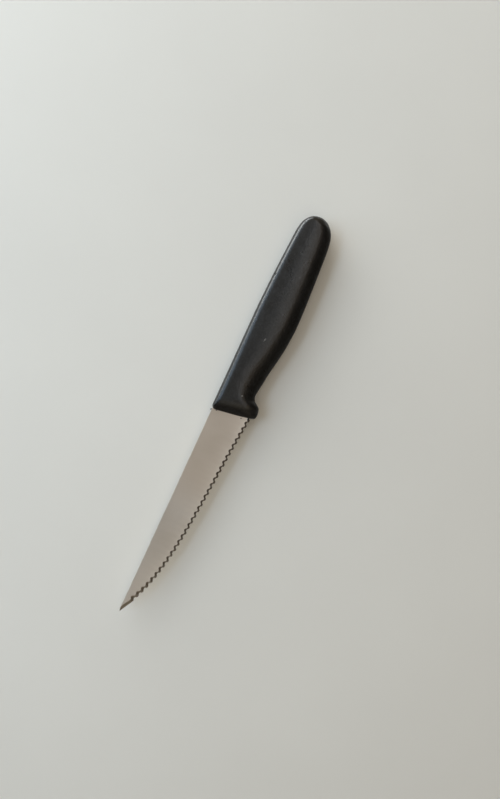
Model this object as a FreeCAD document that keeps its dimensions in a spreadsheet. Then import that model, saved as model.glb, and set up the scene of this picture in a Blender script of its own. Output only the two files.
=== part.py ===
import FreeCAD, Part
import os
import Sketcher

# Small pointed kitchen knife: a serrated sheet-steel blade whose hidden tang
# is moulded into a one-piece plastic handle.  Millimetres.
# Working frame: x runs from the handle front (0) to the tip, y from the blade
# spine (0) to the cutting edge, z = 0 in the middle of the sheet.  The two
# finished pieces are then moved so that the origin is at the centre of the
# bottom of the bounding box.

V = FreeCAD.Vector
doc = FreeCAD.newDocument("knife")
sheet = doc.addObject("Spreadsheet::Sheet", "params")
sheet.Label = "params"

row = [1]


def cell(alias, value, note=""):
    r = row[0]
    sheet.set("A%d" % r, alias)
    sheet.set("B%d" % r, str(value))
    sheet.setAlias("B%d" % r, alias)
    if note:
        sheet.set("C%d" % r, note)
    row[0] += 1


def val(alias):
    return float(sheet.get(alias))


# ---------------------------------------------------------------- dimensions
cell("blade_len", 110.4, "spine, handle front to tip")
cell("blade_thk", 1.2, "sheet thickness at the spine")
cell("edge_thk", 0.55, "sheet thickness left at the edge before the bevel")
cell("taper_land", 0.3, "flat land along the spine before the taper")
cell("taper_wid", 18.0, "depth of blade over which the taper runs")
cell("taper_slope", "=(blade_thk - edge_thk) / 2 / (taper_wid - taper_land)")
cell("bevel_ang", 35.0, "bevel angle of the scallops to the blade face")
cell("scallop_rad", 1.57, "radius of the scallop grind")
cell("tooth_out", 0.85, "tooth points stand this far outside the scallops")
cell("tooth_half", 1.0, "half length of the plain grind at a tooth point")
cell("tooth_back", 2.2, "plain grind length inside the edge")
cell("scallop_turn", 0.55, "share of the edge slope that the scallops follow")
cell("cut_back", 5.0, "grind length inside the edge")
cell("cut_out", 5.0, "grind length beyond the edge")
cell("tip_ang", 30.2, "plain edge at the tip, angle to the spine")
cell("tip_bevel", 33.5, "bevel angle at the tip")
cell("tip_x", 103.3, "start of the plain tip edge")
cell("tip_y", 4.48, "start of the plain tip edge")
cell("tip_cut_x", "=tip_x - 3 * cos(tip_ang * 1 deg) - 3.5 * sin(tip_ang * 1 deg) * cos(tip_bevel * 1 deg)")
cell("tip_cut_y", "=tip_y + 3 * sin(tip_ang * 1 deg) - 3.5 * cos(tip_ang * 1 deg) * cos(tip_bevel * 1 deg)")
cell("tip_cut_z", "=-blade_thk / 2 + taper_slope * 2.4 + 3.5 * sin(tip_bevel * 1 deg)")
cell("tang_len", 76.0, "tang end behind the handle front")
cell("tang_top", 5.0, "upper edge of the tang at the shoulder")
cell("tang_low", 15.6, "lower edge of the tang at the shoulder")
cell("tang_step", 1.4, "tang edges close in by this much at the end")
cell("tang_hole", 5.0, "locking holes, diameter")
cell("tang_hole_y", 10.3, "locking holes, centre line")
cell("tang_hole_a", 22.0, "first hole behind the handle front")
cell("tang_hole_pitch", 20.0, "hole spacing")
cell("handle_len", 107.93, "handle front to butt")
cell("handle_wid", 22.5, "largest handle width")
cell("handle_thk", 11.0, "handle thickness across the flats")
cell("handle_half", "=handle_thk / 2 + 0.2", "moulded half thickness before the flats")
cell("shift_x", "=(0.99787 * handle_len - blade_len) / 2 - 0.015", "moves the box centre to x = 0")
cell("shift_y", -10.515, "moves the box centre to y = 0")
cell("shift_z", "=handle_thk / 2", "rests the handle flat on z = 0")

# Deepest point of each scallop on the flat face: distance from the handle
# front and depth below the spine.  The first two are under the handle.
SCALLOPS = [
    (-3.79, 18.84), (-0.64, 18.56), (2.50, 18.28), (5.65, 18.00), (8.79, 17.73),
    (11.94, 17.45), (15.10, 17.19), (18.27, 16.94), (21.45, 16.71), (24.64, 16.48),
    (27.83, 16.26), (31.04, 16.03), (34.25, 15.80), (37.46, 15.57), (40.68, 15.34),
    (43.91, 15.10), (47.14, 14.84), (50.36, 14.57), (53.59, 14.29), (56.82, 13.98),
    (60.05, 13.66), (63.27, 13.31), (66.50, 12.93), (69.71, 12.51), (72.92, 12.04),
    (76.13, 11.53), (79.33, 10.96), (82.52, 10.32), (85.70, 9.60), (88.87, 8.78),
    (92.04, 7.86), (95.19, 6.81), (98.32, 5.61), (101.45, 4.25),
]
COUNT = len(SCALLOPS)
for i, (x, y) in enumerate(SCALLOPS):
    cell("scallop_x_%02d" % i, x)
    cell("gullet_%02d" % i, y)
# Slope of the edge line through each tooth point, and the turn of each scallop.
for i in range(COUNT - 1):
    cell("tooth_ang_%02d" % i, "=atan((gullet_%02d - gullet_%02d) / (scallop_x_%02d - scallop_x_%02d))" % (i, i + 1, i + 1, i))
for i in range(COUNT):
    cell("turn_%02d" % i, "=scallop_turn * (tooth_ang_%02d + tooth_ang_%02d) / 2" % (max(i - 1, 0), min(i, COUNT - 2)))

# Handle sections: position behind the handle front and both outline points as
# fractions of the length and width; lean of the section; half thickness,
# spine corner radius and belly corner radius as fractions of the half
# thickness.
SECTIONS = [
    (0.00463, 7.70, 0.00000, 0.84000, 0.4254, 0.2552, 0.4030),
    (0.01168, 7.70, -0.02009, 0.91556, 0.5254, 0.3152, 0.5030),
    (0.01928, 7.70, -0.02676, 0.96627, 0.6597, 0.3958, 0.6373),
    (0.02949, 7.70, -0.02751, 0.97742, 0.7791, 0.4675, 0.7567),
    (0.04062, 7.70, -0.02800, 0.97680, 0.8672, 0.5203, 0.8448),
    (0.05175, 7.70, -0.02831, 0.96640, 0.9299, 0.5373, 0.9075),
    (0.06102, 7.70, -0.02853, 0.95191, 0.9649, 0.5373, 0.9425),
    (0.07029, 7.70, -0.02867, 0.92258, 0.9881, 0.5373, 0.9657),
    (0.07863, 7.70, -0.02876, 0.88009, 0.9985, 0.5373, 0.9761),
    (0.08605, 7.70, -0.02884, 0.83533, 1.0000, 0.5373, 0.9776),
    (0.09531, 7.70, -0.02898, 0.79431, 1.0000, 0.5373, 0.9776),
    (0.10644, 7.70, -0.02916, 0.76738, 1.0000, 0.5373, 0.9776),
    (0.12220, 7.70, -0.02938, 0.76053, 1.0000, 0.5373, 0.9776),
    (0.14629, 7.69, -0.02964, 0.77547, 1.0000, 0.5373, 0.9776),
    (0.18798, 7.56, -0.03009, 0.80276, 1.0000, 0.5373, 0.9776),
    (0.24632, 7.10, -0.03071, 0.83707, 1.0000, 0.5373, 0.9776),
    (0.32037, 6.17, -0.03213, 0.89622, 1.0000, 0.5373, 0.9776),
    (0.40363, 4.83, -0.03378, 0.94116, 1.0000, 0.5373, 0.9776),
    (0.48684, 3.36, -0.03418, 0.95796, 1.0000, 0.5373, 0.9776),
    (0.57003, 1.95, -0.02969, 0.94942, 1.0000, 0.5373, 0.9776),
    (0.65326, 0.80, -0.01920, 0.93053, 1.0000, 0.5373, 0.9776),
    (0.73659, 0.11, -0.00431, 0.90902, 1.0000, 0.5373, 0.9776),
    (0.81071, 0.00, 0.01293, 0.88747, 1.0000, 0.5373, 0.9776),
    (0.87557, 0.00, 0.02951, 0.86338, 1.0000, 0.5373, 0.9776),
    (0.91819, 0.00, 0.04582, 0.83329, 1.0000, 0.5373, 0.9776),
    (0.94598, 0.00, 0.07338, 0.79356, 1.0000, 0.5373, 0.9776),
    (0.96544, 0.00, 0.11369, 0.74111, 0.9999, 0.5373, 0.9272),
    (0.97934, 0.00, 0.16258, 0.68338, 0.9496, 0.5373, 0.7696),
    (0.98860, 0.00, 0.21440, 0.62671, 0.8510, 0.4985, 0.6093),
    (0.99463, 0.00, 0.27716, 0.56662, 0.7348, 0.3500, 0.4278),
    (0.99787, 0.00, 0.33956, 0.51853, 0.6285, 0.2164, 0.2645),
]
for i, (px, lean, top, low, half, rs, rb) in enumerate(SECTIONS):
    cell("sec_x_%02d" % i, "=-handle_len * %.5f" % px)
    cell("sec_lean_%02d" % i, lean)
    cell("sec_top_%02d" % i, "=handle_wid * %.5f" % top)
    cell("sec_low_%02d" % i, "=handle_wid * %.5f" % low)
    cell("sec_half_%02d" % i, "=handle_half * %.4f" % half)
    cell("sec_rs_%02d" % i, "=handle_half * %.4f" % rs)
    cell("sec_rb_%02d" % i, "=handle_half * %.4f" % rb)
doc.recompute()


# ------------------------------------------------------------------- helpers
def plane(body, role):
    return [o for o in body.Origin.OriginFeatures if o.Role == role][0]


def new_sketch(body, name, role):
    sk = body.newObject("Sketcher::SketchObject", name)
    sk.AttachmentSupport = [(plane(body, role), "")]
    sk.MapMode = "FlatFace"
    return sk


def bind(sk, index, name, expression):
    sk.renameConstraint(index, name)
    sk.setExpression("Constraints." + name, expression)


def polygon(sk, points, exprs):
    """Closed chain of lines; each corner is placed by a pair of cells."""
    n = len(points)
    for i in range(n):
        a, b = points[i], points[(i + 1) % n]
        sk.addGeometry(Part.LineSegment(V(a[0], a[1], 0), V(b[0], b[1], 0)), False)
    for i in range(n):
        sk.addConstraint(Sketcher.Constraint("Coincident", i, 2, (i + 1) % n, 1))
    for i in range(n):
        for axis, kind in ((0, "DistanceX"), (1, "DistanceY")):
            k = sk.addConstraint(Sketcher.Constraint(kind, -1, 1, i, 1, points[i][axis]))
            bind(sk, k, "p%02d_%s" % (i, "xy"[axis]), exprs[i][axis])


# --------------------------------------------------------------- blade blank
blank = doc.addObject("PartDesign::Body", "blade_blank")
blank.Label = "blade_blank"

# The edge side of the blank stands outside the finished teeth; the scallop
# and tip grinds remove the surplus.
outline = [
    (-2.6, 0.0, "-2.6", "0"),
    (108.7, 0.0, "params.blade_len - 1.7", "0"),
    (110.4, 0.36, "params.blade_len", "0.36"),
]
outline += [(110.7, 0.75, "params.blade_len + 0.3", "0.75"),
            (104.4, 5.06, "params.tip_x + 1.1", "params.tip_y + 0.58")]
for k in (32, 30, 28, 26, 24, 21, 18, 14, 10, 6, 3):
    outline.append((
        SCALLOPS[k][0], SCALLOPS[k][1] + 1.75, "params.scallop_x_%02d" % k,
        "params.gullet_%02d + 1.75" % k))
outline += [
    (-5.0, 19.9, "-5", "params.gullet_00 + 1.21"),
    (-5.0, 17.4, "-5", "params.tang_low + 1.8"),
    (-6.8, 15.6, "-6.8", "params.tang_low"),
    (-74.0, 14.2, "-params.tang_len + 2", "params.tang_low - params.tang_step"),
    (-76.0, 12.2, "-params.tang_len", "params.tang_low - params.tang_step - 2"),
    (-76.0, 8.4, "-params.tang_len", "params.tang_top + params.tang_step + 2"),
    (-74.0, 6.4, "-params.tang_len + 2", "params.tang_top + params.tang_step"),
    (-6.8, 5.0, "-6.8", "params.tang_top"),
    (-5.0, 3.2, "-5", "params.tang_top - 1.8"),
]
sk = new_sketch(blank, "blank_outline", "XY_Plane")
polygon(sk, [(p[0], p[1]) for p in outline], [(p[2], p[3]) for p in outline])
doc.recompute()
pad = blank.newObject("PartDesign::Pad", "sheet_metal")
pad.Profile = sk
pad.SideType = "Symmetric"
pad.setExpression("Length", "params.blade_thk")
doc.recompute()

# Locking holes in the tang, filled by the handle plastic.
sk = new_sketch(blank, "tang_holes", "XY_Plane")
for k in range(3):
    x = -(val("tang_hole_a") + k * val("tang_hole_pitch"))
    g = sk.addGeometry(Part.Circle(V(x, val("tang_hole_y"), 0), V(0, 0, 1), val("tang_hole") / 2), False)
    c = sk.addConstraint(Sketcher.Constraint("Diameter", g, val("tang_hole")))
    bind(sk, c, "dia_%d" % k, "params.tang_hole")
    c = sk.addConstraint(Sketcher.Constraint("DistanceX", -1, 1, g, 3, x))
    bind(sk, c, "hx_%d" % k, "-(params.tang_hole_a + %d * params.tang_hole_pitch)" % k)
    c = sk.addConstraint(Sketcher.Constraint("DistanceY", -1, 1, g, 3, val("tang_hole_y")))
    bind(sk, c, "hy_%d" % k, "params.tang_hole_y")
doc.recompute()
holes = blank.newObject("PartDesign::Pocket", "tang_hole_cut")
holes.Profile = sk
holes.Type = "ThroughAll"
holes.SideType = "Symmetric"
doc.recompute()

# Flat taper on both faces from the spine towards the edge.
sk = new_sketch(blank, "taper_profile", "YZ_Plane")
sk.AttachmentOffset = FreeCAD.Placement(V(0, 0, -8.0), FreeCAD.Rotation())
half, land, slope = val("blade_thk") / 2, val("taper_land"), val("taper_slope")
reach = 26.0
for side, sign in ((0, 1.0), (1, -1.0)):
    pts = [(land, half), (reach, half), (reach, half - slope * (reach - land))]
    g0 = 3 * side
    for i in range(3):
        a, b = pts[i], pts[(i + 1) % 3]
        sk.addGeometry(Part.LineSegment(V(a[0], sign * a[1], 0), V(b[0], sign * b[1], 0)), False)
    for i in range(3):
        sk.addConstraint(Sketcher.Constraint("Coincident", g0 + i, 2, g0 + (i + 1) % 3, 1))
    sk.addConstraint(Sketcher.Constraint("Horizontal", g0))
    sk.addConstraint(Sketcher.Constraint("Vertical", g0 + 1))
    c = sk.addConstraint(Sketcher.Constraint("DistanceX", -1, 1, g0, 1, land))
    bind(sk, c, "land_%d" % side, "params.taper_land")
    c = sk.addConstraint(Sketcher.Constraint("DistanceX", -1, 1, g0, 2, reach))
    bind(sk, c, "reach_%d" % side, "params.taper_wid + 8")
    c = sk.addConstraint(Sketcher.Constraint("DistanceY", -1, 1, g0, 1, sign * half))
    bind(sk, c, "face_%d" % side, "%sparams.blade_thk / 2" % ("" if sign > 0 else "-"))
    c = sk.addConstraint(Sketcher.Constraint("DistanceY", -1, 1, g0 + 2, 1, sign * (half - slope * (reach - land))))
    bind(sk, c, "drop_%d" % side, "%s(params.blade_thk / 2 - params.taper_slope * (params.taper_wid + 8 - params.taper_land))" % ("" if sign > 0 else "-"))
doc.recompute()
full = blank.Shape.Volume
taper = blank.newObject("PartDesign::Pocket", "taper_grind")
taper.Profile = sk
taper.Type = "Length"
taper.Reversed = True
taper.setExpression("Length", "params.blade_len + 15")
doc.recompute()
if not (0.60 * full < blank.Shape.Volume < 0.92 * full):
    raise RuntimeError("taper grind: %.1f of %.1f mm3" % (blank.Shape.Volume, full))

# ------------------------------------------------------------ scallop grinds
def angle(alias):
    return float(FreeCAD.Units.Quantity(sheet.get(alias)).Value)


cutters = []
for i in range(COUNT):
    cyl = doc.addObject("Part::Cylinder", "scallop_%02d" % i)
    cyl.Label = "scallop_%02d" % i
    cyl.setExpression("Radius", "params.scallop_rad")
    cyl.setExpression("Height", "params.cut_back + params.cut_out")
    cyl.Placement = FreeCAD.Placement(
        V(0, 0, 0), FreeCAD.Rotation(-angle("turn_%02d" % i), 0.0, -90.0 - val("bevel_ang")))
    a, b = "params.turn_%02d" % i, "(params.bevel_ang * 1 deg)"
    out = "(params.scallop_rad * sin(%s) - params.cut_back * cos(%s))" % (b, b)
    cyl.setExpression("Placement.Base.x", "params.scallop_x_%02d + %s * sin(%s)" % (i, out, a))
    cyl.setExpression("Placement.Base.y", "params.gullet_%02d + %s * cos(%s)" % (i, out, a))
    cyl.setExpression("Placement.Base.z",
                      "-params.blade_thk / 2 + params.taper_slope * (params.gullet_%02d - params.taper_land)"
                      " + params.scallop_rad * cos(%s) + params.cut_back * sin(%s)" % (i, b, b))
    cutters.append(cyl)
doc.recompute()
grind = doc.addObject("Part::MultiFuse", "scallop_grind")
grind.Shapes = cutters
doc.recompute()
scalloped = doc.addObject("Part::Cut", "blade_scalloped")
scalloped.Base = blank
scalloped.Tool = grind
doc.recompute()

# Plain grind that leaves a short straight land on every tooth point.
lands = []
for i in range(COUNT - 1):
    box = doc.addObject("Part::Box", "tooth_%02d" % i)
    box.Label = "tooth_%02d" % i
    box.setExpression("Length", "2 * params.tooth_half")
    box.setExpression("Width", "params.tooth_back + 1.8")
    box.Height = 2.5
    box.Placement = FreeCAD.Placement(
        V(0, 0, 0), FreeCAD.Rotation(-angle("tooth_ang_%02d" % i), 0.0, -val("bevel_ang")))
    mid = "(params.gullet_%02d + params.gullet_%02d) / 2 + params.tooth_out" % (i, i + 1)
    a, b = "params.tooth_ang_%02d" % i, "(params.bevel_ang * 1 deg)"
    box.setExpression("Placement.Base.x",
                      "(params.scallop_x_%02d + params.scallop_x_%02d) / 2 - params.tooth_half * cos(%s)"
                      " - params.tooth_back * sin(%s) * cos(%s)" % (i, i + 1, a, a, b))
    box.setExpression("Placement.Base.y",
                      "%s + params.tooth_half * sin(%s) - params.tooth_back * cos(%s) * cos(%s)" % (mid, a, a, b))
    box.setExpression("Placement.Base.z",
                      "-params.blade_thk / 2 + params.taper_slope * (%s - params.taper_land)"
                      " + params.tooth_back * sin(%s)" % (mid, b))
    lands.append(box)
doc.recompute()
land_grind = doc.addObject("Part::Compound", "land_grind")
land_grind.Links = lands
doc.recompute()
toothed = doc.addObject("Part::Cut", "blade_toothed")
toothed.Base = scalloped
toothed.Tool = land_grind
doc.recompute()

tip_cut = doc.addObject("Part::Box", "tip_grind")
tip_cut.Length = 20.0
tip_cut.Width = 9.0
tip_cut.Height = 5.0
tip_cut.Placement = FreeCAD.Placement(
    V(0, 0, 0), FreeCAD.Rotation(-val("tip_ang"), 0.0, -val("tip_bevel")))
for axis in "xyz":
    tip_cut.setExpression("Placement.Base." + axis, "params.tip_cut_" + axis)
doc.recompute()

blade = doc.addObject("Part::Cut", "blade")
blade.Label = "blade"
blade.Base = toothed
blade.Tool = tip_cut
for axis in "xyz":
    blade.setExpression("Placement.Base." + axis, "params.shift_" + axis)
doc.recompute()

# -------------------------------------------------------------------- handle
grip = doc.addObject("PartDesign::Body", "handle_grip")
grip.Label = "handle_grip"
sketches = []
for i in range(len(SECTIONS)):
    x, lean = val("sec_x_%02d" % i), val("sec_lean_%02d" % i)
    a, b, hh = val("sec_top_%02d" % i), val("sec_low_%02d" % i), val("sec_half_%02d" % i)
    rs, rb = val("sec_rs_%02d" % i), val("sec_rb_%02d" % i)
    sk = new_sketch(grip, "section_%02d" % i, "YZ_Plane")
    sk.AttachmentOffset = FreeCAD.Placement(V(0, 0, x), FreeCAD.Rotation(V(0, 1, 0), lean))
    sk.setExpression("AttachmentOffset.Base.z", "params.sec_x_%02d" % i)
    if lean > 0.0:
        sk.setExpression("AttachmentOffset.Rotation.Angle", "params.sec_lean_%02d" % i)

    def line(p, q):
        return Part.LineSegment(V(p[0], p[1], 0), V(q[0], q[1], 0))

    def arc(cx, cy, r, t0, t1):
        import math
        return Part.ArcOfCircle(Part.Circle(V(cx, cy, 0), V(0, 0, 1), r), math.radians(t0), math.radians(t1))

    sk.addGeometry([
        line((a + rs, hh), (b - rb, hh)),
        arc(b - rb, hh - rb, rb, 0, 90),
        line((b, hh - rb), (b, rb - hh)),
        arc(b - rb, rb - hh, rb, 270, 360),
        line((b - rb, -hh), (a + rs, -hh)),
        arc(a + rs, rs - hh, rs, 180, 270),
        line((a, rs - hh), (a, hh - rs)),
        arc(a + rs, hh - rs, rs, 90, 180),
    ], False)
    C = Sketcher.Constraint
    for g, p, k, q in ((0, 2, 1, 2), (1, 1, 2, 1), (2, 2, 3, 2), (3, 1, 4, 1),
                       (4, 2, 5, 2), (5, 1, 6, 1), (6, 2, 7, 2), (7, 1, 0, 1)):
        sk.addConstraint(C("Tangent", g, p, k, q))
    sk.addConstraint(C("Horizontal", 0))
    sk.addConstraint(C("Horizontal", 4))
    sk.addConstraint(C("Vertical", 2))
    sk.addConstraint(C("Symmetric", 6, 1, 6, 2, -1))
    sk.addConstraint(C("Equal", 1, 3))
    sk.addConstraint(C("Equal", 7, 5))
    bind(sk, sk.addConstraint(C("DistanceX", -1, 1, 6, 1, a)), "top", "params.sec_top_%02d" % i)
    bind(sk, sk.addConstraint(C("DistanceX", -1, 1, 2, 1, b)), "low", "params.sec_low_%02d" % i)
    bind(sk, sk.addConstraint(C("DistanceY", -1, 1, 0, 1, hh)), "half", "params.sec_half_%02d" % i)
    bind(sk, sk.addConstraint(C("Radius", 1, rb)), "belly", "params.sec_rb_%02d" % i)
    bind(sk, sk.addConstraint(C("Radius", 7, rs)), "spine", "params.sec_rs_%02d" % i)
    sketches.append(sk)
doc.recompute()
loft = grip.newObject("PartDesign::AdditiveLoft", "grip_loft")
loft.Profile = sketches[0]
loft.Sections = sketches[1:]
loft.Ruled = False
doc.recompute()

# Both broad sides are true flats.
slab = doc.addObject("Part::Box", "handle_flats")
slab.setExpression("Length", "params.handle_len + 20")
slab.Width = 60.0
slab.setExpression("Height", "params.handle_thk")
slab.setExpression("Placement.Base.x", "-params.handle_len - 10")
slab.Placement.Base.y = -20.0
slab.setExpression("Placement.Base.y", "-20")
slab.setExpression("Placement.Base.z", "-params.handle_thk / 2")
doc.recompute()
flatted = doc.addObject("Part::Common", "handle_flatted")
flatted.Base = grip
flatted.Tool = slab
doc.recompute()

# The plastic closes on the tang and flows through its holes.
handle = doc.addObject("Part::Cut", "handle")
handle.Label = "handle"
handle.Base = flatted
handle.Tool = toothed
for axis in "xyz":
    handle.setExpression("Placement.Base." + axis, "params.shift_" + axis)
doc.recompute()

# -------------------------------------------------------------------- output
for o in doc.Objects:
    if "Invalid" in o.State or "Error" in o.State:
        raise RuntimeError("%s is %s" % (o.Label, o.State))
    shape = getattr(o, "Shape", None)
    if shape is not None and o.TypeId != "Sketcher::SketchObject" and o.TypeId.split("::")[0] in ("Part", "PartDesign"):
        if shape.isNull() or not shape.isValid():
            raise RuntimeError("%s has no valid shape" % o.Label)

os.makedirs("parts", exist_ok=True)
for o in (blade, handle):
    s = o.Shape
    b = s.optimalBoundingBox(False)
    print("%-8s solids %d volume %.1f mm3 box %.2f..%.2f %.2f..%.2f %.2f..%.2f" % (
        o.Label, len(s.Solids), s.Volume, b.XMin, b.XMax, b.YMin, b.YMax, b.ZMin, b.ZMax))
    s.exportStep("parts/%s.step" % o.Label)
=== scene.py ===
import math

import bmesh
import bpy
import numpy as np
from mathutils import Matrix, Vector


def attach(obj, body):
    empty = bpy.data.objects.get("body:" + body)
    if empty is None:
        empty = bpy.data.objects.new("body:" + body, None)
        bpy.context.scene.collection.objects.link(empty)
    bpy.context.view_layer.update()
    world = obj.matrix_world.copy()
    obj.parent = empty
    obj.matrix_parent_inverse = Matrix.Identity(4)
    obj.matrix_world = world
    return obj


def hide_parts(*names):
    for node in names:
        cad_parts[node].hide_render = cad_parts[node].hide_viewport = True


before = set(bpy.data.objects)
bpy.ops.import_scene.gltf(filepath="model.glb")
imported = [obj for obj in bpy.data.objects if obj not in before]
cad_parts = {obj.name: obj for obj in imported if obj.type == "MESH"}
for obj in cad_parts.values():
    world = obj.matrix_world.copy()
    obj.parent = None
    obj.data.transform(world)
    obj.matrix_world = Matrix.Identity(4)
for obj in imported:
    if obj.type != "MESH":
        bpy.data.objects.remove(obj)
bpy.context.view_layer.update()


# --------------------------------------------------------------------------
# Knife frame, in mm: x from the handle front to the tip, y from the blade
# spine to the cutting edge, z = 0 in the middle of the blade sheet.
# --------------------------------------------------------------------------
SX, SY, SZ = -1.365, -10.515, 5.5


def to_m(points):
    p = np.asarray(points, dtype=float)
    return (p + np.array([SX, SY, SZ])) * 0.001


def pchip(xs, ys):
    """Monotone cubic through the points, xs rising."""
    x = np.asarray(xs, float)
    y = np.asarray(ys, float)
    h = np.diff(x)
    d = np.diff(y) / h
    m = np.zeros_like(y)
    for i in range(1, len(x) - 1):
        if d[i - 1] * d[i] > 0:
            w1 = 2 * h[i] + h[i - 1]
            w2 = h[i] + 2 * h[i - 1]
            m[i] = (w1 + w2) / (w1 / d[i - 1] + w2 / d[i])
    m[0], m[-1] = d[0], d[-1]

    def f(t):
        t = np.clip(np.asarray(t, float), x[0], x[-1])
        i = np.clip(np.searchsorted(x, t) - 1, 0, len(x) - 2)
        s = (t - x[i]) / h[i]
        return ((1 + 2 * s) * (1 - s) ** 2 * y[i] + s * (1 - s) ** 2 * h[i] * m[i]
                + s * s * (3 - 2 * s) * y[i + 1] + s * s * (s - 1) * h[i] * m[i + 1])
    return f


def smoothstep(a, b, t):
    s = np.clip((np.asarray(t, float) - a) / (b - a), 0, 1)
    return s * s * (3 - 2 * s)


def new_object(name, verts, faces, smooth=True):
    me = bpy.data.meshes.new(name)
    me.from_pydata([tuple(v) for v in verts], [], [tuple(f) for f in faces])
    me.validate()
    ob = bpy.data.objects.new(name, me)
    bpy.context.scene.collection.objects.link(ob)
    if smooth:
        me.polygons.foreach_set("use_smooth", [True] * len(me.polygons))
    me.update()
    return ob


def close_up(me, dist):
    """Merge points that fall together, so that no empty faces are left."""
    bm = bmesh.new()
    bm.from_mesh(me)
    bmesh.ops.remove_doubles(bm, verts=bm.verts, dist=dist)
    bm.to_mesh(me)
    bm.free()
    me.update()


# --------------------------------------------------------------------------
# Handle
# --------------------------------------------------------------------------
HALF = 5.5          # half thickness at the crown
FRONT_LEAN = 9.2    # the front leans back towards the guard, degrees
X_FRONT = -0.50
X_BUTT = -108.38

SPINE = [(-108.38, 9.93), (-108.32, 8.94), (-108.15, 7.95), (-107.91, 6.95), (-107.52, 5.96),
         (-106.98, 4.97), (-106.44, 4.32), (-105.41, 3.40), (-104.49, 2.73), (-103.58, 2.23),
         (-102.66, 1.84), (-100.82, 1.32), (-98.99, 1.02), (-97.16, 0.84), (-94.35, 0.66),
         (-89.39, 0.39), (-84.42, 0.14), (-79.46, -0.10), (-74.49, -0.30), (-69.52, -0.46),
         (-64.56, -0.60), (-59.59, -0.71), (-55.62, -0.76), (-49.66, -0.77), (-39.73, -0.74),
         (-29.80, -0.70), (-19.86, -0.67), (-9.93, -0.65), (-4.00, -0.62), (-2.60, -0.57),
         (-1.96, -0.45), (-1.35, -0.18), (-0.98, 0.14), (-0.76, 0.48), (-0.60, 0.95), (-0.50, 1.50)]
BELLY = [(-108.38, 9.93), (-108.22, 11.22), (-107.94, 12.12), (-107.54, 13.01), (-107.00, 13.95),
         (-106.47, 14.65), (-105.41, 15.67), (-104.49, 16.46), (-103.58, 17.08), (-102.66, 17.60),
         (-100.82, 18.32), (-98.99, 18.77), (-97.16, 19.09), (-94.35, 19.44), (-89.39, 19.84),
         (-84.42, 20.16), (-79.46, 20.46), (-74.49, 20.73), (-69.52, 21.01), (-64.56, 21.25),
         (-61.58, 21.38), (-58.60, 21.48), (-55.62, 21.53), (-52.64, 21.50), (-49.66, 21.38),
         (-46.68, 21.20), (-43.70, 20.96), (-40.72, 20.63), (-37.74, 20.21), (-34.76, 19.72),
         (-31.78, 19.22), (-28.80, 18.67), (-25.82, 18.25), (-22.84, 17.93), (-19.86, 17.55),
         (-18.37, 17.33), (-16.88, 17.11), (-15.89, 17.01), (-14.90, 16.93), (-13.90, 17.08),
         (-13.41, 17.28), (-12.91, 17.55), (-12.41, 17.93), (-11.92, 18.47), (-11.42, 19.22),
         (-10.93, 19.91), (-10.43, 20.51), (-9.93, 20.96), (-9.34, 21.28), (-8.59, 21.53),
         (-7.70, 21.73), (-6.75, 21.83), (-5.71, 21.78), (-4.95, 21.62), (-4.38, 21.30),
         (-3.97, 20.70), (-3.68, 19.74), (-3.48, 18.67), (-3.30, 17.88), (-3.14, 17.18),
         (-2.98, 16.34), (-2.71, 15.39)]
spine_y = pchip([p[0] for p in SPINE], [p[1] for p in SPINE])
belly_y = pchip([p[0] for p in BELLY], [p[1] for p in BELLY])

NOSE = 7.3          # length of the rolled front
NOSE_POW = 1.7
NOSE_FLAT = 1.3     # half height of the flat front around the blade
BUTT_R = 4.1        # rounding of the butt, seen from the side
MELT = 0.04         # how far the front corner of the spine drops
BELLY_STEEP = 44.0  # slope of the belly side at its outline, degrees


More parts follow.
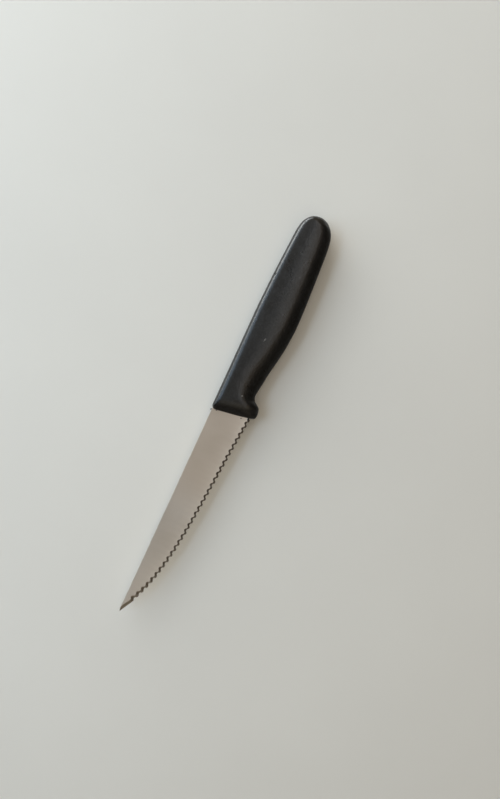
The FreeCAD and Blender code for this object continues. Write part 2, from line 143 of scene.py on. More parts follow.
def section_profile(w, h, rs, ab, crown, ease):
    """Upper half of a handle section, spine side to belly side, as (p, z)."""
    tc = math.radians(crown)
    draft = math.radians(85.0)
    # widths of both roundings, then the crowned face takes what is left
    wall = 0.0
    for _ in range(6):
        ps = rs * (math.sin(draft) - math.sin(tc)) + wall * math.tan((math.pi / 2 - draft) / 2)
        wc = max(w - ps - ab, 0.05)
        sag = wc / 2 * math.tan(tc / 2)
        top = h - sag
        wall = max(top - rs * (math.cos(tc) - math.cos(draft)), 0.02)
    pts = []
    # raised parting line at z = 0, then the drafted wall
    for z, out in ((0.0, 0.05), (0.07, 0.045), (0.13, 0.0)):
        zz = min(z, wall * 0.5)
        pts.append((-out * min(1.0, w / 6.0), zz))
    bow = math.pi / 2 - draft
    for k in range(1, 7):
        z = 0.13 + (wall - 0.13) * k / 6 if wall > 0.2 else wall * (0.5 + 0.5 * k / 6)
        pts.append((math.tan(bow / 2) * z * z / max(wall, 0.02), z))
    p0 = math.tan(bow / 2) * wall
    for k in range(1, 13):
        a = draft + (tc - draft) * k / 12
        pts.append((p0 + rs * (math.sin(draft) - math.sin(a)), wall + rs * (math.cos(a) - math.cos(draft))))
    p1, z1 = pts[-1]
    rc = wc / 2 / math.sin(tc)
    for k in range(1, 13):
        a = -tc + 2 * tc * k / 12
        pts.append((p1 + wc / 2 + rc * math.sin(a), z1 - rc * math.cos(tc) + rc * math.cos(a)))
    # belly side: the slope grows towards the outline, then a tight corner
    edge_r = min(0.45, 0.12 * ab)
    steep = math.radians(BELLY_STEEP)
    reach = ab - edge_r * (1 - math.sin(steep))
    p, z = w - ab, pts[-1][1]
    fine = 5
    drop = []
    for k in range(13 * fine):
        q = (k + 0.5) / (13 * fine)
        drop.append(math.tan(tc + (steep - tc) * q ** ease) * reach / (13 * fine))
    squeeze = min(1.0, 0.86 * z / sum(drop))
    for k in range(13):
        z -= squeeze * sum(drop[k * fine:(k + 1) * fine])
        pts.append((p + reach * (k + 1) / 13, z))
    for k in range(1, 5):
        a = steep + (math.pi / 2 - steep) * k / 4
        pts.append((p + reach + edge_r * (math.sin(a) - math.sin(steep)), z - squeeze * edge_r * (math.cos(steep) - math.cos(a))))
    pts.append((w, min(0.5 * pts[-1][1], 0.6)))
    for z, out in ((0.13, 0.0), (0.07, 0.045), (0.0, 0.05)):
        pts.append((w + out * min(1.0, w / 6.0), min(z, top * 0.3)))
    return pts


# width of the belly rounding, by distance behind the front
belly_round = pchip([0.0, 4.0, 6.5, 9.0, 12.0, 16.0, 21.0, 27.0, 36.0, 52.0, 69.0, 89.0, 108.0],
                    [9.0, 9.1, 8.8, 8.7, 9.3, 10.6, 10.8, 9.8, 8.2, 7.0, 6.6, 6.1, 5.6])

# how far the broad face is domed, degrees at its sides
face_crown = pchip([0.0, 12.0, 24.0, 48.0, 70.0, 108.0], [2.5, 2.5, 4.6, 8.2, 8.0, 7.0])


def section_size(s):
    """Half thickness at s behind the front."""
    d = max(0.0, (X_FRONT - s) - X_BUTT)
    h = HALF
    if s < NOSE:
        k = 1 - s / NOSE
        h = NOSE_FLAT + (HALF - NOSE_FLAT) * max(0.0, 1 - k ** NOSE_POW) ** (1 / NOSE_POW)
    if s < 14.0:
        h -= 0.45 * (1 - s / 14.0) ** 2 * min(1.0, max(0.0, (h - NOSE_FLAT) / 2.0))
    if d < BUTT_R:
        k = 1 - d / BUTT_R
        h = min(h, HALF - BUTT_R + BUTT_R * math.sqrt(max(0.0, 1 - k * k)))
    return h


def handle_rings():
    ss = list(NOSE * (1 - np.cos(np.linspace(0, math.pi / 2, 26))))
    ss += list(np.arange(NOSE + 0.25, 17.0, 0.3))
    ss += list(np.arange(17.8, 71.6, 1.0)) + list(np.arange(71.8, 75.2, 0.15)) + list(np.arange(75.8, 94.0, 1.0))
    length = X_FRONT - X_BUTT
    t = np.linspace(0, math.pi / 2, 34)[1:]
    ss += list(94.0 + (length - 94.0 - 0.03) * np.sin(t))
    rings = []
    for s in ss:
        xs = X_FRONT - s
        y0 = float(spine_y(xs))
        lean = math.radians(FRONT_LEAN) * float(1 - smoothstep(14.0, 84.0, s))
        # outermost meeting of the leaning plane and the belly outline
        ys = np.linspace(24.0, y0 + 0.2, 2400)
        xb = xs - (ys - y0) * math.tan(lean)
        g = ys - belly_y(np.clip(xb, X_BUTT, -2.71))
        hit = np.where(g <= 0)[0]
        k = int(hit[0]) if len(hit) else len(ys) - 1
        if k > 0:
            f = g[k - 1] / (g[k - 1] - g[k])
            y1 = ys[k - 1] + f * (ys[k] - ys[k - 1])
        else:
            y1 = ys[0]
        w = (y1 - y0) / math.cos(lean)
        h = section_size(s)
        rs = min(3.5, 0.64 * h, 0.34 * w)
        ab = min(float(belly_round(s)), 2.3 * h, (0.64 if s < 40.0 else 0.5) * w)
        crown = float(face_crown(s)) * min(1.0, h / HALF)
        # near the guard the face runs into the belly side more softly
        ease = 0.96 + 0.30 * float(1 - smoothstep(18.0, 40.0, s))
        prof = section_profile(w, h, rs, ab, max(crown, 1.0), ease)
        # the corner between spine and front is worn round
        melt = MELT * float(1 - smoothstep(0.0, 13.0, s))
        prof = [(p, z * (1 - melt * float(1 - smoothstep(0.3, 9.0, p)))) for p, z in prof]
        up = [(xs - p * math.sin(lean), y0 + p * math.cos(lean), z) for p, z in prof]
        low = [(x, y, -z) for x, y, z in up[-2:0:-1]]
        rings.append(up + low)
    return np.array(rings), np.array(ss)


rings, stations = handle_rings()
n_ring, n_pt = rings.shape[0], rings.shape[1]
# small pit on the spine near the butt
pit = np.array([-73.1, 0.22, 3.4])
dist = np.linalg.norm((rings - pit) * np.array([1.0, 0.8, 0.8]), axis=2)
rings[:, :, 1:] += np.exp(-(dist / 0.52) ** 2)[:, :, None] * np.array([0.80, -0.45])

verts = to_m(rings.reshape(-1, 3))
faces = []
for i in range(n_ring - 1):
    a, b = i * n_pt, (i + 1) * n_pt
    for j in range(n_pt):
        k = (j + 1) % n_pt
        faces.append((a + j, a + k, b + k, b + j))
# front and butt caps: rows across the section, upper to lower side
half_pts = (n_pt + 2) // 2


def cap(base, flip):
    out = []
    for j in range(half_pts - 1):
        up0, up1 = base + j, base + j + 1
        lo0 = base + (n_pt - j) % n_pt
        lo1 = base + (n_pt - j - 1) % n_pt
        quad = []
        for q in (up0, up1, lo1, lo0):
            if q not in quad:
                quad.append(q)
        if len(quad) >= 3:
            out.append(tuple(reversed(quad)) if flip else tuple(quad))
    return out


faces += cap(0, True)
faces += cap((n_ring - 1) * n_pt, False)
handle = new_object("handle_grip", verts, faces)
handle.data.set_sharp_from_angle(angle=math.radians(40))

# rubbed edges: corner of the spine, guard and butt
prof_n = half_pts
idx = np.arange(n_pt)
upper = np.where(idx < prof_n, idx, n_pt - idx)
corner = np.exp(-((upper - 15.0) / 4.5) ** 2)
wear = np.tile(corner, (n_ring, 1)) * 0.7
guard = 0.4 * np.exp(-((stations - 3.0) / 3.0) ** 2)[:, None] * (smoothstep(30, 44, upper))[None, :]
butt = smoothstep(103.5, 107.5, stations)[:, None] * np.ones((1, n_pt)) * 0.6
wear = np.clip(np.maximum(np.maximum(wear, guard), butt), 0, 1)
attr = handle.data.attributes.new("rub", "FLOAT", "POINT")
attr.data.foreach_set("value", wear.reshape(-1).astype(np.float32))
close_up(handle.data, 2e-6)


# Moulding flash where the plastic closes on the blade, and one dark blob at the heel.
def lump_mesh(cx, cy, cz, lx, ly, lz, turn, seed, rows=9, cols=14):
    rng = np.random.default_rng(seed)
    ph = rng.uniform(0, 2 * math.pi, 6)
    c, s_ = math.cos(turn), math.sin(turn)
    vv, ff = [(cx, cy, cz + lz)], []
    for i in range(1, rows):
        th = math.pi * i / rows
        for j in range(cols):
            al = 2 * math.pi * j / cols
            r = 1 + 0.16 * math.sin(3 * al + ph[0]) * math.sin(th) + 0.12 * math.sin(5 * al + 2 * th + ph[1]) \
                + 0.08 * math.sin(7 * th + ph[2])
            x = lx * r * math.sin(th) * math.cos(al)
            y = ly * r * math.sin(th) * math.sin(al)
            vv.append((cx + c * x - s_ * y, cy + s_ * x + c * y, cz + lz * math.cos(th)))
    vv.append((cx, cy, cz - lz))
    end = len(vv) - 1
    for j in range(cols):
        k = (j + 1) % cols
        ff.append((0, 1 + j, 1 + k))
        for i in range(rows - 2):
            a, b = 1 + i * cols, 1 + (i + 1) * cols
            ff.append((a + j, b + j, b + k, a + k))
        ff.append((end, 1 + (rows - 2) * cols + k, 1 + (rows - 2) * cols + j))
    return vv, ff


lumps = [
    (0.06, -0.30, 0.08, 0.44, 0.26, 0.40, -0.75, 3),
    (-0.42, 2.30, 0.58, 0.22, 0.30, 0.10, 0.10, 5),
    (-1.80, 15.15, 0.36, 0.16, 0.42, 0.09, 0.30, 8),
    # dark blob at the heel, below the guard's front, put on a dark patch there whose cause is not known
    (-2.70, 18.60, 0.42, 0.75, 0.42, 0.30, 0.12, 11),
]
fv, ff = [], []
for lump in lumps:
    v_, f_ = lump_mesh(*lump)
    base = len(fv)
    fv += v_
    ff += [tuple(base + q for q in f) for f in f_]
flash = new_object("handle_flash_and_heel_blob", to_m(fv), ff)

# --------------------------------------------------------------------------
# Blade
# --------------------------------------------------------------------------
THICK = 0.6                      # half thickness at the spine
LAND = 0.3
SLOPE = (1.2 - 0.55) / 2 / (18.0 - LAND)
R_SC = 1.57
TOOTH = 0.85                     # tooth points outside the scallops
# deepest point of every scallop on the flat face
GULLET_X = np.array([
    -3.79, -0.64, 2.50, 5.65, 8.79, 11.94, 15.10, 18.27, 21.45, 24.64, 27.83,
    31.04, 34.25, 37.46, 40.68, 43.91, 47.14, 50.36, 53.59, 56.82, 60.05, 63.27,
    66.50, 69.71, 72.92, 76.13, 79.33, 82.52, 85.70, 88.87, 92.04, 95.19, 98.32,
    101.45])
GULLETS = np.array([
    18.84, 18.56, 18.28, 18.00, 17.73, 17.45, 17.19, 16.94, 16.71, 16.48, 16.26,
    16.03, 15.80, 15.57, 15.34, 15.10, 14.84, 14.57, 14.29, 13.98, 13.66, 13.31,
    12.93, 12.51, 12.04, 11.53, 10.96, 10.32, 9.60, 8.78, 7.86, 6.81, 5.61,
    4.25])
TIP_ANG = math.radians(30.2)
TIP_BEV = math.radians(33.5)
TIP_X, TIP_Y = 103.3, 4.48
X_TIP = 110.4
# scallop bevel, flatter towards heel and tip
ALPHA = np.radians(30.0 + 6.0 * smoothstep(5.0, 60.0, GULLET_X) - 4.0 * smoothstep(75.0, 102.0, GULLET_X))
MID_ALPHA = (ALPHA[:-1] + ALPHA[1:]) / 2
MID_X = (GULLET_X[:-1] + GULLET_X[1:]) / 2
MID_A = np.arctan2(GULLETS[:-1] - GULLETS[1:], GULLET_X[1:] - GULLET_X[:-1])
MID_Y = (GULLETS[:-1] + GULLETS[1:]) / 2 + TOOTH
# share of the edge's slope that the scallops follow, more towards the tip
TURN = 0.55 + 0.40 * smoothstep(50.0, 92.0, GULLET_X)
SLANT = TURN * np.concatenate([MID_A[:1], (MID_A[:-1] + MID_A[1:]) / 2, MID_A[-1:]])


def face_z(y):
    return THICK - SLOPE * max(0.0, y - LAND)


def scallop_z(i, x, y):
    """Height of one scallop's grind over (x, y)."""
    sb, cb = math.sin(SLANT[i]), math.cos(SLANT[i])
    dx, dy = x - GULLET_X[i], y - GULLETS[i]
    along, out = dx * cb - dy * sb, dx * sb + dy * cb
    if abs(along) >= R_SC:
        return 9.0
    lift = R_SC - math.sqrt(R_SC * R_SC - along * along)
    return -face_z(GULLETS[i]) - out * math.tan(ALPHA[i]) + lift / math.cos(ALPHA[i])


def land_z(j, x, y):
    """Height of one tooth's plain grind over (x, y)."""
    dx, dy = x - MID_X[j], y - MID_Y[j]
    sa, ca = math.sin(MID_A[j]), math.cos(MID_A[j])
    if abs(dx * ca - dy * sa) >= 1.0:
        return 9.0
    return -face_z(MID_Y[j]) - (dx * sa + dy * ca) * math.tan(MID_ALPHA[j])


def cut_z(x, y):
    """Height of the ground surface over (x, y): scallops, tooth lands, plain tip."""
    best = 9.0
    i0 = int(np.searchsorted(GULLET_X, x))
    for i in range(max(0, i0 - 2), min(len(GULLETS), i0 + 2)):
        best = min(best, scallop_z(i, x, y))
    for j in range(max(0, i0 - 2), min(len(MID_X), i0 + 2)):
        best = min(best, land_z(j, x, y))
    if x > 98.0:
        d = (x - TIP_X) * math.sin(TIP_ANG) + (y - TIP_Y) * math.cos(TIP_ANG)
        best = min(best, -face_z(2.4) - d * math.tan(TIP_BEV))
    return best


def spine_at(x):
    return 0.36 * min(1.0, max(0.0, (x - 108.5) / 1.9)) ** 1.3


def solve(fun, lo, hi):
    """fun falls from + to - between lo and hi."""
    for _ in range(40):
        mid = 0.5 * (lo + hi)
        if fun(mid) > 0:
            lo = mid
        else:
            hi = mid
    return 0.5 * (lo + hi)


CHAM = 0.07     # broken corners of the spine


def blade_column(x):
    ys = spine_at(x)
    if x < -5.0:
        # tang
        if x < -6.8:
            f = (-6.8 - x) / (74.0 - 6.8)
            top, low = 5.0 + 1.4 * f, 15.6 - 1.4 * f
            end = (x + 76.0)
            if end < 2.0:
                pinch = 2.0 - math.sqrt(max(0.0, 4.0 - (2.0 - end) ** 2))
                top, low = top + pinch, low - pinch
        else:
            f = (x + 6.8) / 1.8
            top, low = 5.0 - 1.8 * f, 15.6 + 1.8 * f
        ys, ye, yi = top, low, low
        zs = [0.6, -0.6]
        rows = [(ys, -0.6), (ys, 0.6)]
        for k in range(1, 8):
            y = ys + (ye - ys) * k / 8
            rows.append((y, 0.6))
        rows.append((ye, 0.6))
        rows.append((ye, 0.2))
        rows.append((ye, -0.2))
        rows.append((ye, -0.6))
        for k in range(1, 8):
            y = ye + (ys - ye) * k / 8
            rows.append((y, -0.6))
        return rows
    ys_ = ys
    if x < -2.6:
        ys_ = 3.2 * (-2.6 - x) / 2.4
    near_y = float(np.interp(x, GULLET_X, GULLETS))
    ye = solve(lambda y: cut_z(x, y) + face_z(y), ys_, near_y + 2.0)
    if cut_z(x, ys_) < face_z(ys_):
        yi = ys_
    else:
        yi = solve(lambda y: cut_z(x, y) - face_z(y), ys_, ye)
    top0 = min(face_z(ys_), cut_z(x, ys_))
    c = min(CHAM, max(0.0, (top0 + 0.6) * 0.3), max(0.0, (ye - ys_) * 0.2))
    rows = [(ys_, -0.6 + c), (ys_, max(top0 - c, -0.6 + c))]
    start = ys_ + c
    inner = max(yi, start)
    for k in range(0, 7):
        y = start + (inner - start) * (k / 7.0)
        rows.append((y, min(face_z(y), cut_z(x, y))))
    zi = min(face_z(inner), cut_z(x, inner))
    rows.append((inner, zi))
    ze = -face_z(ye)
    for k in (1, 2):
        y = inner + (ye - inner) * k / 3
        rows.append((y, zi + (ze - zi) * k / 3))
    rows.append((ye, ze))
    for k in range(1, 8):
        y = ye + (start - ye) * k / 7
        rows.append((y, -face_z(y)))
    return rows


def blade_mesh():
    xs = [-76.0 + 2.0 * (1 - math.cos(t)) for t in np.linspace(0.05, math.pi / 2, 8)]
    xs += list(np.arange(-72.0, -7.0, 3.0)) + [-6.8, -5.9, -5.001]
    # columns: dense in every scallop, with one on each side of every tooth land
    def scallop_edge(i, x):
        return solve(lambda y: min(scallop_z(i, x, y), 8.0) + face_z(y), GULLETS[i] - 1.5, GULLETS[i] + 2.2)

    def land_edge(i, x):
        return MID_Y[i] - (x - MID_X[i]) * math.tan(MID_A[i])

    marks = [-5.0]
    for i in range(len(MID_X)):
        lo, hi = GULLET_X[i], GULLET_X[i + 1]
        marks.append(solve(lambda x: land_edge(i, x) - scallop_edge(i, x), lo, MID_X[i]))
        marks.append(solve(lambda x: scallop_edge(i + 1, x) - land_edge(i, x), MID_X[i], hi))
    marks = [q for k, q in enumerate(marks) if k == 0 or q > -4.9]
    marks.append(103.02)
    cols = [-5.0]
    for k, (lo, hi) in enumerate(zip(marks[:-1], marks[1:])):
        n = 20 if k % 2 == 0 else 5
        cols += [lo + (hi - lo) * q / n for q in range(1, n + 1)]
    cols += list(np.arange(103.3, 110.0, 0.25)) + [110.0, 110.12, 110.22, 110.3, 110.35]
    xs += sorted(set(round(c, 5) for c in cols))
    grid = []
    for x in xs:
        rows = blade_column(x)
        grid.append([(x, y, z) for y, z in rows])
    return np.array(grid)


grid = blade_mesh()
n_col, n_row = grid.shape[0], grid.shape[1]
bv = to_m(grid.reshape(-1, 3))
bf, bmat = [], []
for i in range(n_col - 1):
    for j in range(n_row):
        k = (j + 1) % n_row
        bf.append((i * n_row + j, (i + 1) * n_row + j, (i + 1) * n_row + k, i * n_row + k))
        # rows 9..12 carry the ground bevel
        bmat.append(1 if 9 <= j < 12 and grid[i, 0, 0] > -5.0 else 0)
bf.append(tuple(range(n_row)))
bmat.append(0)
last = (n_col - 1) * n_row
bf.append(tuple(reversed(range(last, last + n_row))))
bmat.append(1)
me = bpy.data.meshes.new("blade_body")
me.from_pydata([tuple(v) for v in bv], [], bf)
me.polygons.foreach_set("material_index", bmat)
me.polygons.foreach_set("use_smooth", [True] * len(bf))
me.update()
blade = bpy.data.objects.new("blade_body", me)
bpy.context.scene.collection.objects.link(blade)
me.set_sharp_from_angle(angle=math.radians(14))
# distance from the edge, for painted light: a lighter strip of colour along the serrations
near = []
for i in range(n_col):
    ye = max(p[1] for p in grid[i])
    for p in grid[i]:
        near.append(math.exp(-max(0.0, ye - p[1]) / 3.2))
fade = 1 - smoothstep(84.0, 103.0, grid[:, :, 0].reshape(-1))
attr = me.attributes.new("painted_edge_light", "FLOAT", "POINT")
attr.data.foreach_set("value", (np.array(near) * fade).astype(np.float32))
# painted light: the grind's colour gets lighter towards the plain tip
gx = grid[:, :, 0].reshape(-1)
bright = 0.05 * smoothstep(20.0, 55.0, gx) + 0.22 * smoothstep(55.0, 75.0, gx) + 0.43 * smoothstep(75.0, 101.0, gx) \
    + 0.30 * smoothstep(102.6, 104.0, gx)
attr = me.attributes.new("tip_painted_light", "FLOAT", "POINT")
attr.data.foreach_set("value", bright.astype(np.float32))
close_up(me, 2e-6)


# --------------------------------------------------------------------------
# Materials
# --------------------------------------------------------------------------
class Nodes:
    def __init__(self, name):
        self.mat = bpy.data.materials.new(name)
        self.mat.use_nodes = True
        self.t = self.mat.node_tree
        self.t.nodes.clear()
        self.out = self.t.nodes.new("ShaderNodeOutputMaterial")
        self.bsdf = self.t.nodes.new("ShaderNodeBsdfPrincipled")
        self.t.links.new(self.bsdf.outputs["BSDF"], self.out.inputs["Surface"])
        self.co = self.t.nodes.new("ShaderNodeTexCoord").outputs["Object"]

    def node(self, kind, **props):
        n = self.t.nodes.new(kind)
        for k, v in props.items():
            setattr(n, k, v)
        return n

    def link(self, a, b):
        self.t.links.new(a, b)

    def mapping(self, scale=(1, 1, 1), rot=(0, 0, 0), loc=(0, 0, 0)):
        n = self.node("ShaderNodeMapping")
        n.inputs["Scale"].default_value = scale
        n.inputs["Rotation"].default_value = rot
        n.inputs["Location"].default_value = loc
        self.link(self.co, n.inputs["Vector"])
        return n.outputs["Vector"]

    def noise(self, vec, scale, detail=3.0, rough=0.55, distort=0.0):
        n = self.node("ShaderNodeTexNoise")
        n.inputs["Scale"].default_value = scale
        n.inputs["Detail"].default_value = detail
        n.inputs["Roughness"].default_value = rough
        n.inputs["Distortion"].default_value = distort
        self.link(vec, n.inputs["Vector"])
        return n.outputs["Fac"]

    def ramp(self, fac, stops):
        n = self.node("ShaderNodeValToRGB")
        cr = n.color_ramp
        while len(cr.elements) < len(stops):
            cr.elements.new(0.5)
        for e, (p, c) in zip(cr.elements, stops):
            e.position = p
            e.color = c if len(c) == 4 else (c[0], c[1], c[2], 1.0)
        self.link(fac, n.inputs["Fac"])
        return n.outputs["Color"]

    def remap(self, fac, a, b, c, d):
        n = self.node("ShaderNodeMapRange")
        n.clamp = True
        n.inputs["From Min"].default_value = a
        n.inputs["From Max"].default_value = b
        n.inputs["To Min"].default_value = c
        n.inputs["To Max"].default_value = d
        self.link(fac, n.inputs["Value"])
        return n.outputs["Result"]

    def math(self, op, a, b):
        n = self.node("ShaderNodeMath", operation=op)
        for i, v in enumerate((a, b)):
            if isinstance(v, (int, float)):
                n.inputs[i].default_value = v
            else:
                self.link(v, n.inputs[i])
        return n.outputs["Value"]

    def mix(self, fac, a, b, blend="MIX"):
        n = self.node("ShaderNodeMix", data_type="RGBA", blend_type=blend)
        for sock, v in ((n.inputs["Factor"], fac), (n.inputs[6], a), (n.inputs[7], b)):
            if isinstance(v, (int, float)):
                sock.default_value = v
            elif isinstance(v, tuple):
                sock.default_value = v if len(v) == 4 else (v[0], v[1], v[2], 1.0)
            else:
                self.link(v, sock)
        return n.outputs[2]

    def attribute(self, name):
        return self.node("ShaderNodeAttribute", attribute_name=name).outputs["Fac"]

    def spot(self, x, y, z, r):
        """1 inside a small ball about a point of the knife frame, in mm."""
        p = to_m([(x, y, z)])[0]
        n = self.node("ShaderNodeVectorMath", operation="DISTANCE")
        self.link(self.co, n.inputs[0])
        n.inputs[1].default_value = tuple(p)
        return self.remap(n.outputs["Value"], r * 0.001 * 0.55, r * 0.001, 1.0, 0.0)

    def bump(self, height, strength, distance, normal=None):
        n = self.node("ShaderNodeBump")
        n.inputs["Strength"].default_value = strength
        n.inputs["Distance"].default_value = distance
        self.link(height, n.inputs["Height"])
        if normal is not None:
            self.link(normal, n.inputs["Normal"])
        return n.outputs["Normal"]


# Black moulded plastic with a fine eroded grain
m = Nodes("handle_plastic")
broad = m.noise(m.mapping(), 55.0, 4.0, 0.6)
cloud = m.noise(m.mapping(loc=(0.3, 0.1, 0.2)), 260.0, 3.0, 0.55)
grain = m.noise(m.mapping(), 4200.0, 2.0, 0.6)
pebble = m.noise(m.mapping(loc=(0.9, 0.7, 0.1)), 1150.0, 2.0, 0.55)
col = m.ramp(broad, [(0.30, (0.0027, 0.0024, 0.0021)), (0.72, (0.0040, 0.0037, 0.0034))])
col = m.mix(m.remap(cloud, 0.45, 0.75, 0.0, 0.35), col, (0.0052, 0.0051, 0.0049))
col = m.mix(m.remap(pebble, 0.44, 0.68, 0.0, 0.8), col, (0.0140, 0.0140, 0.0140))
rub = m.attribute("rub")
rub_n = m.math("MULTIPLY", rub, m.remap(cloud, 0.35, 0.7, 0.3, 1.0))
col = m.mix(m.math("MULTIPLY", rub_n, 0.45), col, (0.014, 0.014, 0.014))
# dust and small scuffs
specks = m.noise(m.mapping(loc=(1.7, 0.4, 0.9)), 900.0, 1.0, 0.4)
col = m.mix(m.remap(specks, 0.80, 0.83, 0.0, 0.35), col, (0.10, 0.097, 0.09))
for x, y, z, r, c in ((-12.2, 11.07, 5.13, 0.44, 0.45), (-41.6, 9.65, 5.46, 0.42, 0.42), (-42.2, 9.85, 5.46, 0.40, 0.20),
                      (-40.9, 9.45, 5.47, 0.36, 0.16), (-76.4, 12.4, 5.34, 0.60, 0.05)):
    col = m.mix(m.math("MULTIPLY", m.spot(x, y, z, r), c), col, (0.42, 0.41, 0.39))
m.link(col, m.bsdf.inputs["Base Color"])
rough = m.remap(broad, 0.25, 0.8, 0.275, 0.335)
rough = m.math("ADD", rough, m.remap(cloud, 0.3, 0.7, -0.025, 0.03))
rough = m.math("SUBTRACT", rough, m.math("MULTIPLY", rub_n, 0.07))
m.link(rough, m.bsdf.inputs["Roughness"])
m.bsdf.inputs["IOR"].default_value = 1.58
nrm = m.bump(broad, 0.12, 0.0004)
nrm = m.bump(pebble, 0.9, 0.00010, nrm)
nrm = m.bump(grain, 0.22, 0.00004, nrm)
m.link(nrm, m.bsdf.inputs["Normal"])
handle_mat = m.mat

# Satin blade steel
m = Nodes("blade_steel")
wide = m.noise(m.mapping(), 34.0, 4.0, 0.55)
mottle = m.noise(m.mapping(loc=(0.2, 0.5, 0.1)), 170.0, 4.0, 0.6)
lines = m.noise(m.mapping(scale=(2600.0, 60.0, 200.0), rot=(0, 0, 0.05)), 1.0, 3.0, 0.6)
fine = m.noise(m.mapping(scale=(6400.0, 300.0, 600.0)), 1.0, 2.0, 0.5)
col = m.ramp(wide, [(0.30, (0.628, 0.578, 0.519)), (0.70, (0.672, 0.623, 0.566))])
col = m.mix(m.remap(mottle, 0.40, 0.72, 0.0, 0.35), col, (0.604, 0.561, 0.511))
col = m.mix(m.remap(lines, 0.35, 0.7, 0.0, 0.14), col, (0.742, 0.691, 0.637))
edge = m.attribute("painted_edge_light")
# painted light: a warmer, pinker tone over the heel half of the blade, for warmer light reflected there
col = m.mix(m.math("MULTIPLY", m.spot(12.0, 9.0, 0.5, 42.0), 0.8), col, (0.662, 0.580, 0.493))
# painted light: the steel is made lighter along the serrations
col = m.mix(m.math("MULTIPLY", edge, 0.6), col, (0.93, 0.870, 0.795))
m.link(col, m.bsdf.inputs["Base Color"])
m.bsdf.inputs["Metallic"].default_value = 1.0
rough = m.remap(wide, 0.3, 0.7, 0.30, 0.36)
rough = m.math("ADD", rough, m.remap(lines, 0.3, 0.7, -0.03, 0.04))
rough = m.math("ADD", rough, m.remap(mottle, 0.4, 0.7, 0.0, 0.03))
m.link(rough, m.bsdf.inputs["Roughness"])
nrm = m.bump(lines, 0.10, 0.00002)
nrm = m.bump(fine, 0.10, 0.00001, nrm)
m.link(nrm, m.bsdf.inputs["Normal"])
blade_mat = m.mat

# Ground scallops: bare grind marks running across the edge, on steel painted dark brown as painted shade, since the
# bevel faces away from the light
m = Nodes("bevel_steel")
marks_ = m.noise(m.mapping(scale=(5200.0, 160.0, 160.0)), 1.0, 3.0, 0.65)
tone = m.noise(m.mapping(loc=(0.6, 0.2, 0.3)), 420.0, 3.0, 0.6)
# painted shade: a dark brown copy of the blade steel; the streaks of the grind marks are real
col = m.ramp(marks_, [(0.30, (0.190, 0.155, 0.124)), (0.72, (0.270, 0.225, 0.182))])
col = m.mix(m.remap(tone, 0.4, 0.7, 0.0, 0.4), col, (0.165, 0.134, 0.104))
# painted light: lighter grind colour towards the tip
col = m.mix(m.attribute("tip_painted_light"), col, (0.84, 0.75, 0.66))
m.link(col, m.bsdf.inputs["Base Color"])
m.bsdf.inputs["Metallic"].default_value = 1.0
rough = m.remap(marks_, 0.3, 0.7, 0.26, 0.38)
m.link(rough, m.bsdf.inputs["Roughness"])
m.link(m.bump(marks_, 0.25, 0.00003), m.bsdf.inputs["Normal"])
bevel_mat = m.mat

handle.data.materials.append(handle_mat)
flash.data.materials.append(handle_mat)
blade.data.materials.append(blade_mat)
blade.data.materials.append(bevel_mat)

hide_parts("handle")
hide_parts("blade")
for piece in (handle, flash, blade):
    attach(piece, "root")

# --------------------------------------------------------------------------
# Stage: pale worktop, soft window light from the upper left of the picture
# --------------------------------------------------------------------------
RIGHT = Vector((-0.41855, 0.90819, 0.0))    # picture right, in the CAD frame
UP = Vector((-0.90819, -0.41855, 0.0))      # picture up
CENTRE = Vector(to_m([(-12.24, 15.28, 0.0)])[0])


def at(right, up, height):
    """Point at so many metres right and up of the picture's middle."""
    p = CENTRE + RIGHT * right + UP * up
    return Vector((p.x, p.y, height))


disc_v, disc_f = [], []
radii = [0.0, 0.15, 0.4, 1.0, 1.75]
segs = 96
disc_v.append((0.0, 0.0, 0.0))
for r in radii[1:]:
    for k in range(segs):
        a = 2 * math.pi * k / segs
        disc_v.append((r * math.cos(a), r * math.sin(a), 0.0))
for k in range(segs):
    disc_f.append((0, 1 + k, 1 + (k + 1) % segs))
for q in range(len(radii) - 2):
    b0, b1 = 1 + q * segs, 1 + (q + 1) * segs
    for k in range(segs):
        l = (k + 1) % segs
        disc_f.append((b0 + k, b1 + k, b1 + l, b0 + l))
floor = new_object("worktop", disc_v, disc_f)
floor.location = (0.0, 0.0, -0.00005)
m = Nodes("worktop_white")
soft = m.noise(m.mapping(), 9.0, 3.0, 0.5)
peel = m.noise(m.mapping(), 900.0, 2.0, 0.5)
col = m.ramp(soft, [(0.3, (0.814, 0.789, 0.726)), (0.7, (0.843, 0.818, 0.753))])
m.link(col, m.bsdf.inputs["Base Color"])
m.link(m.remap(soft, 0.3, 0.7, 0.58, 0.68), m.bsdf.inputs["Roughness"])
m.link(m.bump(peel, 0.06, 0.00006), m.bsdf.inputs["Normal"])
m.bsdf.inputs["IOR"].default_value = 1.45
m.bsdf.inputs["Specular IOR Level"].default_value = 0.12
floor.data.materials.append(m.mat)


# Backdrop ring behind the worktop, seen only when the camera looks across it; it glows with painted light, brighter
# low down and darker towards the top, instead of being lit by the lamps
ring_v, ring_f = [], []
for z in (-0.02, 0.5, 1.1, 2.4):
    for k in range(segs):
        a = 2 * math.pi * k / segs
        ring_v.append((1.72 * math.cos(a), 1.72 * math.sin(a), z))
for q in range(3):
    for k in range(segs):
        l = (k + 1) % segs
        ring_f.append((q * segs + k, (q + 1) * segs + k, (q + 1) * segs + l, q * segs + l))
backdrop = new_object("backdrop", ring_v, ring_f)
m = Nodes("backdrop_pale")
sep = m.node("ShaderNodeSeparateXYZ")
m.link(m.co, sep.inputs[0])
glow = m.node("ShaderNodeEmission")
m.link(m.ramp(m.remap(sep.outputs["Z"], 0.0, 2.4, 0.0, 1.0),
              [(0.0, (0.52, 0.515, 0.50)), (0.5, (0.40, 0.40, 0.395)), (1.0, (0.28, 0.28, 0.28))]),
       glow.inputs["Color"])
m.link(glow.outputs["Emission"], m.out.inputs["Surface"])
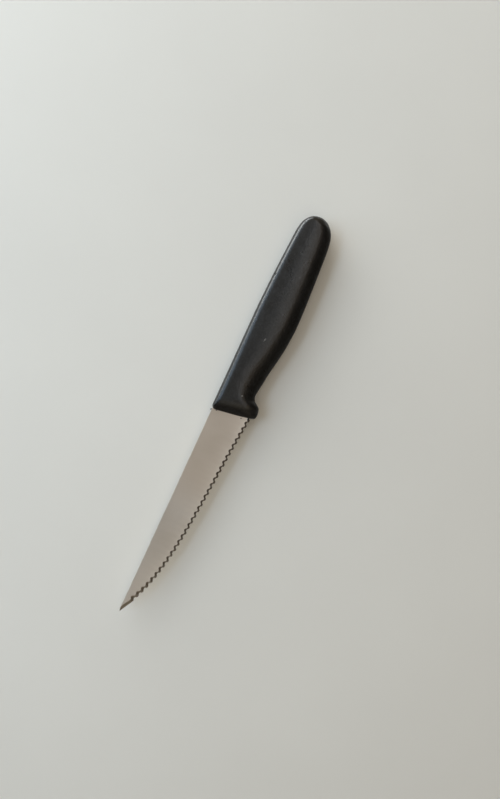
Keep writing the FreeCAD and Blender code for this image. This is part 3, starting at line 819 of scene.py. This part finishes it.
m.t.nodes.remove(m.bsdf)
backdrop.data.materials.append(m.mat)
for flag in ("visible_diffuse", "visible_glossy", "visible_transmission", "visible_shadow"):
    setattr(backdrop, flag, False)


def area(name, pos, target, size, radiance):
    """Soft panel that shows the given brightness, red green blue."""
    top = max(radiance)
    li = bpy.data.lights.new(name, "AREA")
    li.shape = "RECTANGLE"
    li.size, li.size_y = size
    li.energy = math.pi * size[0] * size[1] * top
    li.color = tuple(c / top for c in radiance)
    ob = bpy.data.objects.new(name, li)
    bpy.context.scene.collection.objects.link(ob)
    ob.location = pos
    if target is None:
        ob.rotation_euler = Matrix((RIGHT, UP, Vector((0, 0, 1)))).transposed().to_euler()
    else:
        ob.rotation_euler = (Vector(target) - Vector(pos)).to_track_quat("-Z", "Y").to_euler()
    ob.visible_camera = False
    return ob


# window on the left of the picture, low to high, and round its upper corner
area("window_low", at(-0.75, 0.20, 0.17), at(0.0, 0.0, 0.17), (0.70, 0.28), (2.52, 2.73, 2.89))
area("window_mid", at(-0.75, 0.20, 0.46), at(0.0, 0.0, 0.20), (0.70, 0.26), (1.02, 1.34, 1.71))
area("window_high", at(-0.70, 0.20, 0.82), at(0.0, 0.0, 0.0), (1.0, 0.30), (1.94, 2.49, 3.13))
area("corner_low", at(-0.74, 0.945, 0.20), at(0.0, 0.0, 0.10), (0.675, 0.36), (7.30, 7.45, 7.34))
area("corner_high", at(-0.74, 0.945, 0.46), at(0.0, 0.0, 0.0), (0.675, 0.36), (2.64, 3.01, 3.38))
area("far_low", at(-0.25, 1.20, 0.24), at(0.0, 0.0, 0.12), (0.61, 0.36), (5.70, 5.95, 6.02))
area("far_high", at(-0.25, 1.15, 0.52), at(0.0, 0.0, 0.0), (0.61, 0.36), (3.10, 3.32, 3.46))
area("far_right", at(0.38, 1.15, 0.30), at(0.0, 0.0, 0.10), (0.60, 0.36), (0.28, 0.22, 0.15))
# long strips overhead and a dim one behind the camera
area("strip_left", at(-0.36, 0.0, 1.0), None, (0.16, 1.8), (0.66, 0.72, 0.78))
area("strip_inner", at(-0.18, 0.0, 1.0), None, (0.16, 1.8), (0.34, 0.30, 0.24))
area("strip_middle", at(0.12, 0.47, 1.0), None, (0.12, 0.9), (0.29, 0.37, 0.48))
area("strip_middle_near", at(0.12, -0.43, 1.0), None, (0.12, 0.9), (1.02, 1.00, 0.98))
area("strip_right", at(0.25, 0.47, 1.0), None, (0.12, 0.9), (2.42, 2.46, 2.46))
area("strip_right_near", at(0.25, -0.43, 1.0), None, (0.12, 0.9), (1.25, 1.25, 1.22))
area("strip_outer", at(0.42, 0.0, 1.0), None, (0.20, 1.8), (0.56, 0.38, 0.21))
area("strip_near", at(0.0, -0.75, 0.90), at(0.0, 0.0, 0.0), (1.2, 0.50), (0.29, 0.24, 0.16))

world = bpy.data.worlds.new("room")
bpy.context.scene.world = world
world.use_nodes = True
wt = world.node_tree
wt.nodes.clear()
w_out = wt.nodes.new("ShaderNodeOutputWorld")
w_bg = wt.nodes.new("ShaderNodeBackground")
w_co = wt.nodes.new("ShaderNodeTexCoord")


def lobe(direction):
    """Soft round patch of the room's far walls, 0 to 1."""
    dot = wt.nodes.new("ShaderNodeVectorMath")
    dot.operation = "DOT_PRODUCT"
    dot.inputs[1].default_value = tuple(direction.normalized())
    wt.links.new(w_co.outputs["Generated"], dot.inputs[0])
    spread = wt.nodes.new("ShaderNodeMapRange")
    spread.interpolation_type = "SMOOTHSTEP"
    spread.inputs["From Min"].default_value = 0.35
    spread.inputs["From Max"].default_value = 0.95
    wt.links.new(dot.outputs["Value"], spread.inputs["Value"])
    return spread.outputs["Result"]


w_a = wt.nodes.new("ShaderNodeMix")
w_a.data_type = "RGBA"
w_a.inputs[6].default_value = (0.059, 0.052, 0.041, 1)
w_a.inputs[7].default_value = (0.281, 0.234, 0.161, 1)
wt.links.new(lobe(UP + Vector((0, 0, 0.25))), w_a.inputs["Factor"])
w_b = wt.nodes.new("ShaderNodeMix")
w_b.data_type = "RGBA"
w_b.blend_type = "ADD"
w_b.inputs[7].default_value = (0.038, 0.031, 0.021, 1)
wt.links.new(lobe(-UP + Vector((0, 0, 0.25))), w_b.inputs["Factor"])
wt.links.new(w_a.outputs[2], w_b.inputs[6])
wt.links.new(w_b.outputs[2], w_bg.inputs["Color"])
w_bg.inputs["Strength"].default_value = 1.0
wt.links.new(w_bg.outputs["Background"], w_out.inputs["Surface"])

# Camera straight above, as a phone held over the worktop
cam = bpy.data.cameras.new("camera")
cam.sensor_width = 36.0
cam.lens = 601.0 / 799.0 * 36.0
cam.clip_start = 0.01
cam_ob = bpy.data.objects.new("camera", cam)
bpy.context.scene.collection.objects.link(cam_ob)
rot = Matrix((RIGHT, UP, Vector((0, 0, 1)))).transposed()
cam_ob.matrix_world = Matrix.Translation(Vector((CENTRE.x, CENTRE.y, (SZ + 298.5) * 0.001))) @ rot.to_4x4()
bpy.context.scene.camera = cam_ob
bpy.context.scene.view_settings.view_transform = "Standard"
bpy.context.scene.view_settings.look = "None"
